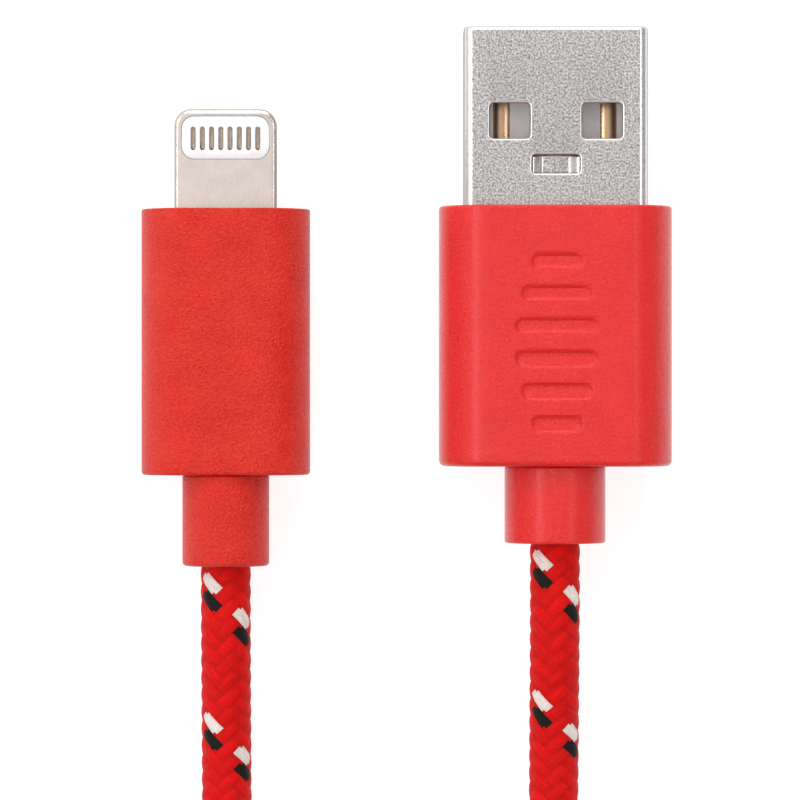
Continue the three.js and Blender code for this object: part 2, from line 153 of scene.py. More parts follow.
# Tilt and heading in degrees, distance and size in metres, and brightness
PANELS = {
    "overhead": (2, 180, 0.8, (0.28, 0.28), 0.66),
    "front_high": (33, 90, 0.7, (0.3, 0.26), 1.6),
    "left_strip": (29, 178, 0.7, (0.5, 0.07), 10.5),
    "left_panel": (58, 150, 0.7, (0.5, 0.3), 1.1),
    "front_panel": (57, 90, 0.7, (0.6, 0.28), 3.2),
    "right_strip": (29, 2, 0.7, (0.5, 0.06), 7.0),
}


def make_camera():
    data = bpy.data.cameras.new("camera")
    data.sensor_width = SENSOR
    data.lens = SENSOR * (CAMERA_HEIGHT - A_ORIGIN[2]) / VIEW_WIDTH
    data.clip_start = 0.01
    data.clip_end = 10
    camera = add_object("camera", data)
    camera.location = Vector((*VIEW_CENTRE, CAMERA_HEIGHT)) * MM
    bpy.context.scene.camera = camera


def make_panel(name, tilt, heading, distance, size, brightness):
    """A soft panel facing the plugs: tilt degrees off overhead, heading degrees anticlockwise from +X."""
    data = bpy.data.lights.new(name, "AREA")
    data.shape = "RECTANGLE"
    data.size, data.size_y = size
    data.energy = brightness * math.pi * size[0] * size[1]
    light = add_object(name, data)
    turned, raised = math.radians(heading), math.radians(90 - tilt)
    out = Vector((
        math.cos(turned) * math.cos(raised), math.sin(turned) * math.cos(raised), math.sin(raised),
    ))
    light.location = out * distance
    light.rotation_euler = (-out).to_track_quat("-Z", "Y").to_euler()


def map_range(tree, value, low, high, to_low, to_high):
    """A node that stretches value from low..high to to_low..to_high and holds it there."""
    node = tree.nodes.new("ShaderNodeMapRange")
    tree.links.new(value, node.inputs["Value"])
    limits = {"From Min": low, "From Max": high, "To Min": to_low, "To Max": to_high}
    for socket, limit in limits.items():
        node.inputs[socket].default_value = limit
    return node


def make_studio():
    scene = bpy.context.scene
    scene.view_settings.view_transform = "Standard"
    world = bpy.data.worlds.new("world")
    scene.world = world
    world.use_nodes = True
    tree = world.node_tree
    places = tree.nodes.new("ShaderNodeTexCoord")
    split = tree.nodes.new("ShaderNodeSeparateXYZ")
    tree.links.new(places.outputs["Generated"], split.inputs["Vector"])
    fall = map_range(tree, split.outputs["X"], *WORLD_FALL, *WORLD_BRIGHTNESS)
    fall.interpolation_type = "SMOOTHSTEP"
    rise = map_range(tree, split.outputs["Z"], 0, HORIZON_HEIGHT, HORIZON_BRIGHTNESS, 1)
    both = tree.nodes.new("ShaderNodeMath")
    both.operation = "MULTIPLY"
    tree.links.new(fall.outputs["Result"], both.inputs[0])
    tree.links.new(rise.outputs["Result"], both.inputs[1])
    background = tree.nodes["Background"]
    background.inputs["Color"].default_value = (1, 1, 1, 1)
    tree.links.new(both.outputs[0], background.inputs["Strength"])
    for name, panel in PANELS.items():
        make_panel(name, *panel)


# Procedural materials

class Shader:
    """One material with a Principled shader, and short ways to add nodes to it."""

    def __init__(self, name, roughness=0.5, metallic=0.0, **sockets):
        self.material = bpy.data.materials.new(name)
        self.material.use_nodes = True
        self.tree = self.material.node_tree
        self.shader = self.tree.nodes["Principled BSDF"]
        self.set("Roughness", roughness)
        self.set("Metallic", metallic)
        for socket, value in sockets.items():
            self.set(socket.replace("_", " "), value)
        self.places = self.node("ShaderNodeTexCoord").outputs["Object"]

    def set(self, socket, value):
        self.shader.inputs[socket].default_value = value

    def node(self, kind, **inputs):
        node = self.tree.nodes.new(kind)
        for name, value in inputs.items():
            self.feed(node.inputs[name.replace("_", " ")], value)
        return node

    def feed(self, socket, value):
        if isinstance(value, bpy.types.NodeSocket):
            self.tree.links.new(value, socket)
        else:
            socket.default_value = value

    def noise(self, size, detail=4.0, roughness=0.55, places=None):
        """Soft noise from 0 to 1 whose blotches are about size millimetres across."""
        node = self.node(
            "ShaderNodeTexNoise", Vector=places or self.places, Scale=1 / (size * MM),
            Detail=detail, Roughness=roughness,
        )
        return node.outputs["Fac"]

    def cracks(self, size):
        """The distance to the edges of cells about size millimetres across."""
        node = self.node("ShaderNodeTexVoronoi", Vector=self.places, Scale=1 / (size * MM))
        node.feature = "DISTANCE_TO_EDGE"
        return node.outputs["Distance"]

    def spread(self, value, low, high, to_low=0.0, to_high=1.0):
        """value, stretched from low..high to to_low..to_high and held there."""
        return map_range(self.tree, value, low, high, to_low, to_high).outputs["Result"]

    def side_shade_mask(self, steep, flat):
        """Mask for painted shade on side faces: 1 on faces whose normals lie down to steep, 0 on those that
        point up beyond flat.
        """
        normal = self.node("ShaderNodeNewGeometry").outputs["Normal"]
        split = self.node("ShaderNodeSeparateXYZ", Vector=normal)
        lift = self.node("ShaderNodeMath")
        lift.operation = "ABSOLUTE"
        self.feed(lift.inputs[0], split.outputs["Z"])
        return self.spread(lift.outputs[0], steep, flat, 1.0, 0.0)

    def math(self, operation, first, second):
        node = self.node("ShaderNodeMath")
        node.operation = operation
        self.feed(node.inputs[0], first)
        self.feed(node.inputs[1], second)
        return node.outputs[0]

    def mix(self, factor, first, second, blend="MIX"):
        node = self.node("ShaderNodeMix")
        node.data_type = "RGBA"
        node.blend_type = blend
        self.feed(node.inputs[0], factor)
        self.feed(node.inputs[6], first)
        self.feed(node.inputs[7], second)
        return node.outputs[2]

    def attribute(self, name, output):
        node = self.node("ShaderNodeAttribute")
        node.attribute_name = name
        return node.outputs[output]

    def bump(self, height, depth, strength=1.0):
        """Relief of about depth millimetres."""
        node = self.node("ShaderNodeBump", Height=height, Distance=depth * MM, Strength=strength)
        self.feed(self.shader.inputs["Normal"], node.outputs["Normal"])

    def colour(self, value):
        self.feed(self.shader.inputs["Base Color"], value)

    def rough(self, value):
        self.feed(self.shader.inputs["Roughness"], value)


def linear(red, green, blue):
    """An sRGB colour of 0 to 255 as the linear colour that nodes use."""
    parts = [c / 255 for c in (red, green, blue)]
    return (*[p / 12.92 if p < 0.04045 else ((p + 0.055) / 1.055) ** 2.4 for p in parts], 1)


def moulded_vinyl(name, colour, shade, grain, roughness, relief, skin):
    """Soft vinyl with a leathery grain. grain and relief are in millimetres, skin is a smooth top coat."""
    made = Shader(name, Specular_IOR_Level=0.31, Coat_Weight=skin, Coat_Roughness=0.3)
    wrinkle = made.spread(made.cracks(grain), 0, 0.25, 0, 0.35)
    pores = made.noise(grain * 0.5, detail=5, roughness=0.65)
    blotch = made.noise(grain * 8, detail=3)
    height = made.math("ADD", wrinkle, pores)
    tint = made.math("ADD", made.math("MULTIPLY", pores, 0.75), made.math("MULTIPLY", blotch, 0.25))
    made.colour(made.mix(made.spread(tint, 0.38, 0.62), shade, colour))
    made.rough(made.spread(pores, 0.35, 0.65, roughness + 0.06, roughness - 0.06))
    made.bump(height, relief, 0.9)
    return made.material


def polished_plate():
    """Nickel plate where the steel was folded or cut and is smooth; its upright faces are painted darker
    grey, as painted shade.
    """
    made = Shader("polished_plate", metallic=1.0)
    rubs = made.noise(0.2, detail=4)
    plate = made.mix(made.spread(rubs, 0.35, 0.65), linear(226, 222, 219), linear(238, 236, 234))
    # Upright faces painted dark grey: painted shade on the sides that face away from the light.
    made.colour(made.mix(made.side_shade_mask(0.25, 0.6), plate, linear(128, 126, 124)))
    made.rough(made.spread(rubs, 0.3, 0.7, 0.26, 0.36))
    made.bump(rubs, 0.003, 0.2)
    return made.material


def blasted_plate():
    """Bright nickel plate on sand-blasted steel: shiny specks between dull pits."""
    made = Shader("plated_shell", metallic=1.0)
    pits = made.noise(0.13, detail=2, roughness=0.6)
    broad = made.noise(0.5, detail=2)
    specks = made.spread(pits, 0.36, 0.64)
    made.colour(made.mix(specks, linear(140, 137, 136), linear(222, 218, 216)))
    made.rough(made.spread(broad, 0.3, 0.7, 0.3, 0.4))
    made.bump(pits, 0.03, 0.7)
    return made.material


def satin_blade():
    """Satin nickel plate with a faint warm mottle and rubbing along its length; its upright faces are
    painted darker, as painted shade.
    """
    made = Shader("blade_metal", metallic=1.0)
    mottle = made.noise(1.3, detail=3)
    stretch = made.node("ShaderNodeMapping", Vector=made.places, Scale=(1.0, 0.15, 1.0))
    rubs = made.noise(0.12, detail=3, places=stretch.outputs["Vector"])
    plate = made.mix(made.spread(mottle, 0.35, 0.65), linear(214, 203, 196), linear(222, 211, 203))
    # Upright faces painted dark: painted shade along the blade's sides.
    made.colour(made.mix(made.side_shade_mask(0.3, 0.62), plate, linear(104, 98, 94)))
    made.rough(made.spread(rubs, 0.3, 0.7, 0.24, 0.32))
    made.bump(rubs, 0.002, 0.06)
    return made.material


def plain(name, colour, shade, roughness, metallic=0.0, blotch=1.1, fine=0.25, vary=0.05, strength=0.3):
    """Smooth plastic or metal, clouded in blotches and finely uneven. Both sizes are in millimetres."""
    made = Shader(name, metallic=metallic)
    cloud = made.noise(blotch, detail=3)
    uneven = made.noise(fine, detail=3)
    made.colour(made.mix(made.spread(cloud, 0.35, 0.65), shade, colour))
    made.rough(made.spread(uneven, 0.3, 0.7, roughness - vary, roughness + vary))
    made.bump(uneven, 0.006, strength)
    return made.material


def braided_yarn():
    """Polyester yarn: each filament bundle runs along its yarn, and the grooves between are painted darker,
    as painted shade.
    """
    made = Shader("red_braid", Specular_IOR_Level=0.12, Sheen_Weight=0.06, Sheen_Roughness=0.4)
    tint = made.attribute("yarn_tint", "Color")
    lie = made.attribute("yarn_lie", "Vector")
    crest_height = made.attribute("yarn_crest", "Fac")
    stretch = made.node("ShaderNodeMapping", Vector=lie, Scale=(0.5, 7.0, 1.0))
    stretched = stretch.outputs["Vector"]
    filaments = made.node("ShaderNodeTexNoise", Vector=stretched, Scale=1.0, Detail=3.0)
    strands = filaments.outputs["Fac"]
    # Low crest heights darken the colour: painted shade in the grooves between yarns.
    depth = made.spread(crest_height, 0.1, 0.7, 0.8, 1.0)
    fluff = made.spread(made.noise(0.22, detail=4, roughness=0.7), 0.3, 0.7, 0.84, 1.12)
    gleam = made.spread(strands, 0.3, 0.7, 0.86, 1.1)
    groove_shade_and_tone = made.math("MULTIPLY", made.math("MULTIPLY", depth, fluff), gleam)
    shade = made.node("ShaderNodeCombineColor")
    for channel in ("Red", "Green", "Blue"):
        made.feed(shade.inputs[channel], groove_shade_and_tone)
    made.colour(made.mix(1.0, tint, shade.outputs["Color"], "MULTIPLY"))
    made.rough(made.spread(strands, 0.3, 0.7, 0.62, 0.78))
    made.bump(strands, 0.03, 0.6)
    return made.material


def woven_strap():
    """Black webbing with fine ribs across the strap and a slight fuzz."""
    made = Shader("black_webbing", Sheen_Weight=0.3, Sheen_Roughness=0.5)
    stretch = made.node("ShaderNodeMapping", Vector=made.places, Scale=(1.0, 1.0, 0.6))
    weave = made.node("ShaderNodeTexWave", Vector=stretch.outputs["Vector"], Scale=700.0, Distortion=2.0)
    fuzz = made.noise(0.15, detail=4)
    relief = made.math("ADD", weave.outputs["Fac"], fuzz)
    made.colour(made.mix(made.spread(relief, 0.3, 1.5), linear(16, 16, 18), linear(52, 52, 56)))
    made.rough(made.spread(fuzz, 0.3, 0.7, 0.8, 0.95))
    made.bump(relief, 0.06, 0.7)
    return made.material


def floor_paint():
    """A pale floor that is bright of itself, so that it takes hardly any shadow."""
    made = Shader("floor_paint", roughness=0.9, Specular_IOR_Level=0.1)
    made.colour((FLOOR_SHADE, FLOOR_SHADE, FLOOR_SHADE, 1))
    made.set("Emission Color", (1, 1, 1, 1))
    made.set("Emission Strength", FLOOR_GLOW)
    return made.material


# Meshes

def outward(mesh, merge=0.0, fill=False):
    """Turns a mesh's faces outwards, once points closer than merge are joined and its holes are filled."""
    made = bmesh.new()
    made.from_mesh(mesh)
    if merge:
        bmesh.ops.remove_doubles(made, verts=made.verts, dist=merge)
    if fill:
        bmesh.ops.holes_fill(made, edges=made.edges, sides=0)
    bmesh.ops.recalc_face_normals(made, faces=made.faces)
    made.to_mesh(mesh)
    made.free()


def smooth_shaded(mesh, angle):
    """Smooth shading, but for edges sharper than angle degrees."""
    mesh.polygons.foreach_set("use_smooth", [True] * len(mesh.polygons))
    mesh.set_sharp_from_angle(angle=math.radians(angle))


def finish_object(name, mesh, material, slot, replaces=(), angle=35):
    """Puts a mesh in the scene on the only body with its material, and hides the CAD nodes it replaces. slot
    is not used.
    """
    smooth_shaded(mesh, angle)
    mesh.materials.clear()
    mesh.materials.append(material)
    made = add_object(name, mesh)
    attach(made, "root")
    if replaces:
        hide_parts(*replaces)
    return made


def rounded_outline(width, height, radius, step):
    """A rounded rectangle's points, anticlockwise, step millimetres apart or closer."""
    across, up = width / 2 - radius, height / 2 - radius
    corner_steps = max(3, math.ceil(radius * math.pi / 2 / step))
    corners = [(across, up), (-across, up), (-across, -up), (across, -up)]
    headings = [(-1, 0), (0, -1), (1, 0), (0, 1)]
    points = []
    for quarter, ((x, y), heading) in enumerate(zip(corners, headings)):
        for index in range(corner_steps + 1):
            angle = (quarter + index / corner_steps) * math.pi / 2
            points.append((x + radius * math.cos(angle), y + radius * math.sin(angle)))
        length = 2 * (across if quarter % 2 == 0 else up)
        side_steps = math.ceil(length / step) if length > 1e-6 else 0
        start = points[-1]
        for index in range(1, side_steps):
            share = length * index / side_steps
            points.append((start[0] + heading[0] * share, start[1] + heading[1] * share))
    return np.array(points)


def inset(section, amount):
    """The same rounded rectangle, smaller by amount all round, with as many points."""
    width, height, radius = section
    return (width - 2 * amount, height - 2 * amount, max(radius - amount, 0.02))


def section_ring(section, pattern, y):
    """A ring of points at y: the rounded rectangle section, with its points where pattern's are."""
    width, height, radius = section
    full_width, full_height, full_radius = pattern["section"]
    points = pattern["points"].copy()
    across, up = full_width / 2 - full_radius, full_height / 2 - full_radius
    corner = np.clip(points, (-across, -up), (across, up))
    offset = (points - corner) / full_radius
    scaled = corner * np.array([
        (width / 2 - radius) / max(across, 1e-6), (height / 2 - radius) / max(up, 1e-6),
    ])
    ring = scaled + offset * radius
    return np.column_stack([ring[:, 0], np.full(len(ring), y), ring[:, 1]])


def quarter_round(steps=5):
    """A round edge of radius 1: how far each point is from the one surface and from the other."""
    angles = [index / steps * math.pi / 2 for index in range(steps + 1)]
    return [(1 - math.sin(angle), 1 - math.cos(angle)) for angle in angles]


def rounded_end(section, pattern, end, edge, inwards):
    """Rings that round a body's end by edge. inwards is 1 or -1 along Y."""
    rings = []
    for pulled, along in quarter_round():
        rings.append(section_ring(inset(section, edge * pulled), pattern, end + inwards * edge * along))
    return rings


def fillet_rings(section, pattern, front, rear, edges, along):
    """Rings from front to rear along -Y, with the two ends rounded by the two edges."""
    front_edge, rear_edge = edges
    rings = rounded_end(section, pattern, front, front_edge, -1)
    length = front - rear - front_edge - rear_edge
    count = max(1, math.ceil(length / along))
    for index in range(1, count):
        rings.append(section_ring(section, pattern, front - front_edge - length * index / count))
    return rings + rounded_end(section, pattern, rear, rear_edge, 1)[::-1]


def chamfered(half, sheet, edge):
    """The section of a flat strip, sheet thick above 0 and with chamfered corners."""
    return [
        (-half, edge), (-half + edge, 0), (half - edge, 0), (half, edge),
        (half, sheet - edge), (half - edge, sheet), (-half + edge, sheet), (-half, sheet - edge),
    ]


def level(outline, z):
    """A plan outline's points at height z."""
    return np.column_stack([outline, np.full(len(outline), z)])


def loft_mesh(name, rings, origin, closed=False):
    """A mesh through rings of equally many points, placed at origin. Its ends are capped unless closed."""
    size, count = len(rings[0]), len(rings)
    faces = []
    for ring in range(count if closed else count - 1):
        base, after = ring * size, (ring + 1) % count * size
        for point in range(size):
            onward = (point + 1) % size
            faces.append((base + point, base + onward, after + onward, after + point))
    if not closed:
        faces.append(tuple(range(size)))
        faces.append(tuple((count - 1) * size + point for point in reversed(range(size))))
    return new_mesh(name, (np.vstack(rings) + origin) * MM, faces)


def lofted(name, rings, origin, material, closed=False, **how):
    """A finished piece with a lofted mesh."""
    mesh = loft_mesh(name, rings, origin, closed)
    mesh.validate()
    mesh.update()
    outward(mesh, merge=1e-8)
    return finish_object(name, mesh, material, **how)


def cut_by(piece, *cutters):
    """Cuts the cutters out of piece, and removes them."""
    for cutter in cutters:
        modifier = piece.modifiers.new("cut", "BOOLEAN")
        modifier.operation = "DIFFERENCE"
        modifier.solver = "EXACT"
        modifier.object = cutter
    graph = bpy.context.evaluated_depsgraph_get()
    mesh = bpy.data.meshes.new_from_object(piece.evaluated_get(graph), depsgraph=graph)
    piece.modifiers.clear()
    piece.data = mesh
    for cutter in cutters:
        bpy.data.objects.remove(cutter)


def prism(outline, bottom, top, origin):
    """A throw-away solid over a plan outline, for cutting."""
    return cutter_through([(bottom, outline), (top, outline)], origin)


def hole_cutter(section, middle, bottom, top, surfaces, rim, origin, step=0.08):
    """A cutter for a hole of a rounded section. It flares at each surface, so the edge there is rounded.

    surfaces has each surface's height and which side of it is open: 1 above or -1 below.
    """
    levels = []
    for surface, side in surfaces:
        for down, grow in quarter_round():
            levels.append((surface - side * rim * down, rim * grow))
        levels.append((top if side > 0 else bottom, rim))
    if all(side > 0 for _, side in surfaces):
        levels.append((bottom, 0))
    pattern = {"section": section, "points": rounded_outline(*section, step)}
    layers = []
    for z, grow in sorted(levels):
        ring = section_ring(inset(section, -grow), pattern, 0)
        layers.append((z, ring[:, [0, 2]] + middle))
    return cutter_through(layers, origin)


def cutter_through(layers, origin):
    """A throw-away solid through plan outlines of equally many points at rising heights."""
    mesh = loft_mesh("cutter", [level(outline, z) for z, outline in layers], origin)
    outward(mesh)
    return add_object("cutter", mesh)


# The cord

def unit(rows):
    """Each row as a vector of length 1."""
    return rows / np.linalg.norm(rows, axis=1)[:, None]


def smoothstep(value):
    value = np.clip(value, 0, 1)
    return value * value * (3 - 2 * value)


def coil_points():
    """The coil's turns: four side by side winding inwards, then four on top winding outwards."""
    low, high = box_mm("cord_coil")
    centre = (low + high) / 2
    slots = len(COLUMNS)
    points = []
    for index in range(int(TURNS * POINTS_PER_TURN) + 1):
        turned = 360 * index / POINTS_PER_TURN
        place = turned * slots / (360 * TURNS)
        half = SHIFT_DEGREES / 2 * slots / (360 * TURNS)
        column, layer = float(COLUMNS[0]), float(LAYERS[0])
        for step in range(1, slots):
            share = 0.5 - 0.5 * math.cos(math.pi * min(1, max(0, (place - step + half) / (2 * half))))
            column += (COLUMNS[step] - COLUMNS[step - 1]) * share
            layer += (LAYERS[step] - LAYERS[step - 1]) * share
        radius = COIL_RADIUS + TURN_PITCH * (column - MIDDLE_COLUMN)
        angle = math.radians(180 + turned)
        from_tie = abs((math.degrees(angle) - 270 + 180) % 360 - 180) * math.pi / 180 * radius
        lift = (TIE_SHEET + 0.02) * float(smoothstep(1 - (from_tie - TIE_WIDTH / 2) / TIE_RAMP))
        points.append((
            centre[0] + radius * math.cos(angle),
            centre[1] + radius * math.sin(angle),
            CORD_FLOOR + LAYER_RISE * layer + lift,
        ))
    return points


def smooth_route(points, step=0.3):
    """A centripetal Catmull-Rom curve through points, resampled step apart."""
    points = np.array(points, float)
    points = np.vstack([2 * points[0] - points[1], points, 2 * points[-1] - points[-2]])
    dense = []
    for p0, p1, p2, p3 in zip(points, points[1:], points[2:], points[3:]):
        t1 = np.linalg.norm(p1 - p0) ** 0.5
        t2 = t1 + np.linalg.norm(p2 - p1) ** 0.5
        t3 = t2 + np.linalg.norm(p3 - p2) ** 0.5
        t = np.linspace(t1, t2, 16, endpoint=False)[:, None]
        a1 = (t1 - t) / t1 * p0 + t / t1 * p1
        a2 = (t2 - t) / (t2 - t1) * p1 + (t - t1) / (t2 - t1) * p2
        a3 = (t3 - t) / (t3 - t2) * p2 + (t - t2) / (t3 - t2) * p3
        b1 = (t2 - t) / t2 * a1 + t / t2 * a2
        b2 = (t3 - t) / (t3 - t1) * a2 + (t - t1) / (t3 - t1) * a3
        dense.append((t2 - t) / (t2 - t1) * b1 + (t - t1) / (t2 - t1) * b2)
    dense = np.vstack([*dense, points[-2][None]])
    run = np.concatenate([[0], np.cumsum(np.linalg.norm(np.diff(dense, axis=0), axis=1))])
    even = np.linspace(0, run[-1], int(run[-1] / step) + 1)
    return even, np.column_stack([np.interp(even, run, dense[:, axis]) for axis in range(3)])


def carried_frames(line):
    """Each point's heading and a normal that is carried along without twisting, first one upwards."""
    heading = unit(np.gradient(line, axis=0))
    normal = np.zeros_like(line)
    current = np.array([0, 0, 1.0])
    for index, forward in enumerate(heading):
        current = current - forward * (current @ forward)
        current /= np.linalg.norm(current)
        normal[index] = current
    return heading, normal


class Route:
    """The cord's centreline, and points on rings round it."""

    def __init__(self):
        inside = np.array([0, CORD_INSIDE, 0])
        start, end = [E_EXIT + inside, E_EXIT], [A_EXIT, A_EXIT + inside]
        self.run, self.line = smooth_route([*start, *E_LEAD, *coil_points(), *reversed(A_LEAD), *end])
        self.heading, self.normal = carried_frames(self.line)
        self.length = self.run[-1]

    def at(self, values, distance):
        """values, which are known along the line, at these distances."""
        return np.column_stack([np.interp(distance, self.run, column) for column in values.T])

    def around(self, distance, angle, radius):
        """Points radius out from the centreline, angle clockwise from the carried normal."""
        centre = self.at(self.line, distance)
        forward = unit(self.at(self.heading, distance))
        normal = self.at(self.normal, distance)
        normal = unit(normal - forward * np.sum(normal * forward, axis=1)[:, None])
        side = np.cross(forward, normal)
        out = normal * np.cos(angle)[:, None] - side * np.sin(angle)[:, None]
        return centre + out * radius[:, None]

    def up_angle_at_end(self):
        """Where straight up is at the cord's end, as an angle from the carried normal."""
        forward, normal = self.heading[-1], self.normal[-1]
        side = np.cross(forward, normal)
        return math.atan2(-side[2], normal[2])


class Braid:
    """The yarns' lattice. One family of yarns has a whole number of a along it, the other of b."""

    def __init__(self, route):
        first = CORD_INSIDE + FLECK_AFTER_EXIT
        last = route.length - first
        fleck = math.radians(FLECK_ANGLE)
        turns = CARRIERS * (last - first) / BRAID_PITCH
        at_first = CARRIERS * -fleck / (2 * math.pi)
        at_last = CARRIERS * (route.up_angle_at_end() + fleck) / (2 * math.pi)
        a_first, b_first = at_first - 0.5, 1 - at_first
        a_last, b_last = at_last - 0.5, 1 - at_last
        a_last += CARRIERS * round((a_first + turns - a_last) / CARRIERS)
        b_last += 4 * round((b_first + turns - b_last) / 4)
        self.a_rate = (a_last - a_first) / (last - first)
        self.b_rate = (b_last - b_first) / (last - first)
        self.a_start = a_first - self.a_rate * first
        self.b_start = b_first - self.b_rate * first
        self.swap_at = route.length / 2

    def distance(self, a, b):
        return (b - a - self.a_start - self.b_start) / (self.a_rate + self.b_rate)

    def angle(self, a, b):
        distance = self.distance(a, b)
        return (a + self.a_start + self.a_rate * distance) * 2 * math.pi / CARRIERS


def over(i, j):
    """Whether the first family's yarn is on top in cell (i, j)."""
    return (i + j) % 4 < 2


def tucked_under(across, along):
    """Whether this spot of a float is at one of the two sharp corners that its neighbours cover."""
    return (across > 0.8 and along < 0.2) or (across < 0.2 and along > 1.8)


def crest_in_cell(a, b, i, j):
    """How high the surface stands, 0 to 1, at (a, b) on the yarn that is on top in cell (i, j)."""
    first = over(i, j)
    across = np.where(first, a - i, b - j)
    start = np.where(first, j - (i + j) % 4, i - ((i + j) % 4 - 2))
    along = (np.where(first, b, a) - start) / 2
    crown = 1 - 0.75 * (2 * across - 1) ** 2
    arch = 0.3 + 0.7 * np.sin(math.pi * np.clip(along, 0, 1)) ** 0.8
    return crown * arch


def crest(a, b):
    """The surface's height at lattice points: the lowest of the cells that meet there."""
    nudge = 1e-4
    heights = []
    for da in (-nudge, nudge):
        for db in (-nudge, nudge):
            heights.append(crest_in_cell(a, b, np.floor(a + da), np.floor(b + db)))
    return np.min(heights, axis=0)


def braid_rows(route, braid, first_row, last_row, cell):
    """A stretch of the tube. Rows are 1/cell of a lattice step apart, and every other one is offset."""
    rows = np.arange(first_row, last_row + 1)
    size = CARRIERS * cell
    column = np.arange(size)
    row_grid, column_grid = np.meshgrid(rows, column, indexing="ij")
    total = 2 * column_grid + row_grid % 2
    a = (total - row_grid) / 2 / cell
    b = (total + row_grid) / 2 / cell
    flat_a, flat_b = a.ravel(), b.ravel()
    height = crest(flat_a, flat_b)
    distance = braid.distance(flat_a, flat_b)
    radius = CORD_DIAMETER / 2 - BRAID_RELIEF * (1 - height)
    points = route.around(distance, braid.angle(flat_a, flat_b), radius)
    return rows, a, b, points.reshape(len(rows), size, 3), height.reshape(len(rows), size)


def braid_quads(rows, size):
    """Each row's whole diamonds, and half ones at both ends, as (row, column) corners."""
    quads = []
    for index, row in enumerate(rows):
        odd = row % 2
        for column in range(size):
            left = (index, column)
            right = (index, (column + 1) % size)
            between = (column + odd) % size
            corners = [left]
            if index > 0:
                corners.append((index - 1, between))
            corners.append(right)
            if index < len(rows) - 1:
                corners.append((index + 1, between))
            quads.append((row, column, corners))
    return quads


YARN_COLOURS = {
    "red": linear(222, 17, 14),
    "white": linear(240, 229, 222),
    "black": linear(30, 26, 26),
}


def yarn_on_top(braid, a, b):
    """Whether the yarn on top at (a, b) is of the first family, its number and its colour."""
    i, j = math.floor(a), math.floor(b)
    first = over(i, j)
    yarn = (i if first else j) % CARRIERS
    name = "red"
    if first and not tucked_under(a - i, b - (j - (i + j) % 4)):
        black = CARRIERS - 1 if braid.distance(a, b) < braid.swap_at else 1
        name = {0: "white", black: "black"}.get(yarn, "red")
    vary = 1 + 0.05 * math.sin(2.4 * yarn + (0 if first else 1.3))
    red, green, blue, _ = YARN_COLOURS[name]
    return first, yarn, (red * vary, green * vary, blue * vary, 1.0)


def cord_stretches(route, braid):
    """First and last lattice row and cells to a yarn of each stretch: fine, coarse and fine."""
    start = braid.a_start + braid.b_start
    rate = braid.a_rate + braid.b_rate
    end = start + rate * route.length
    fine = rate * FINE_LENGTH
    bounds = [math.ceil(start), math.floor(start + fine), math.ceil(end - fine), math.floor(end)]
    return list(zip(bounds, bounds[1:], (FINE_CELL, COARSE_CELL, FINE_CELL)))


def meet_coarse_ring(ring):
    """Puts the points that only a fine ring has on straight lines between those of a coarse one."""
    snap = FINE_CELL // COARSE_CELL
    size = len(ring)
    for column in range(size):
        if column % snap:
            ring[column] = (ring[column - 1] + ring[(column + 1) % size]) / 2


def add_attribute(mesh, name, kind, domain, field, values):
    layer = mesh.attributes.new(name, kind, domain)
    layer.data.foreach_set(field, np.array(values, np.float32).ravel())


def make_cord(material):
    """The braided cord from collar to collar, as one mesh with its yarns' colours and directions."""
    route = Route()
    braid = Braid(route)
    vertices, faces, tints, lies, crests = [], [], [], [], []
    base = 0
    for first, last, cell in cord_stretches(route, braid):
        rows, a, b, points, height = braid_rows(route, braid, first * cell, last * cell, cell)
        size = CARRIERS * cell
        if cell == FINE_CELL:
            meet_coarse_ring(points[0])
            meet_coarse_ring(points[-1])
        vertices.extend(points.reshape(-1, 3) * MM)
        crests.extend(height.ravel())
        for row, column, corners in braid_quads(rows, size):
            total = 2 * column + row % 2 + 1
            middle_a, middle_b = (total - row) / 2 / cell, (total + row) / 2 / cell
            i, j = math.floor(middle_a), math.floor(middle_b)
            first_over, yarn, tint = yarn_on_top(braid, middle_a, middle_b)
            faces.append(tuple(base + r * size + c for r, c in corners))
            for corner in corners:
                corner_a = a[corner] + CARRIERS * round((middle_a - a[corner]) / CARRIERS)
                corner_b = b[corner] + CARRIERS * round((middle_b - b[corner]) / CARRIERS)
                along, across = (corner_b, corner_a - i) if first_over else (corner_a, corner_b - j)
                lies.append((along + 17 * yarn, across + 5 * yarn, 0.0 if first_over else 40.0))
                tints.append(tint)
        base += len(rows) * size
    mesh = new_mesh("braided_cord", vertices, faces)
    add_attribute(mesh, "yarn_tint", "FLOAT_COLOR", "CORNER", "color", tints)
    add_attribute(mesh, "yarn_lie", "FLOAT_VECTOR", "CORNER", "vector", lies)
    add_attribute(mesh, "yarn_crest", "FLOAT", "POINT", "value", crests)
    outward(mesh, merge=1e-7, fill=True)
    cord = finish_object(
        "braided_cord", mesh, material, slot="red_braid", angle=180,
        replaces=("cord_lead_eight_pin", "cord_lead_type_a", "cord_coil"),
    )
    return cord, route


def tie_line():
    """The strap's inner side, as (y, z): once round the turns, then its tail over its own start."""
    half = (TURN_PITCH * COLUMNS[0] + CORD_DIAMETER) / 2 + TIE_SIDE_PLAY
    floor = TIE_SHEET
    top = floor + CORD_FLOOR + LAYER_RISE + CORD_DIAMETER / 2 + TIE_PLAY
    inner, radius = half - TIE_CORNER, TIE_CORNER
    line = []
    for quarter, (side_y, z) in enumerate([(1, top), (-1, top), (-1, floor), (1, floor)]):
        corner_y, corner_z = side_y * inner, z - radius if z == top else z + radius
        for step in range(7):
            angle = math.radians(90 * quarter + 15 * step)
            line.append((corner_y + radius * math.cos(angle), corner_z + radius * math.sin(angle)))
    tail = [
        (inner - 0.5, top + 0.1), (inner - 2.0, top + TIE_SHEET * 0.8), (inner - TIE_LAP, top + TIE_SHEET),
        (0.0, top + TIE_SHEET), (1.2 - inner, top + TIE_SHEET),
    ]
    return np.array([(inner - TIE_LAP, top), *line[6:], *line[:7], *tail])


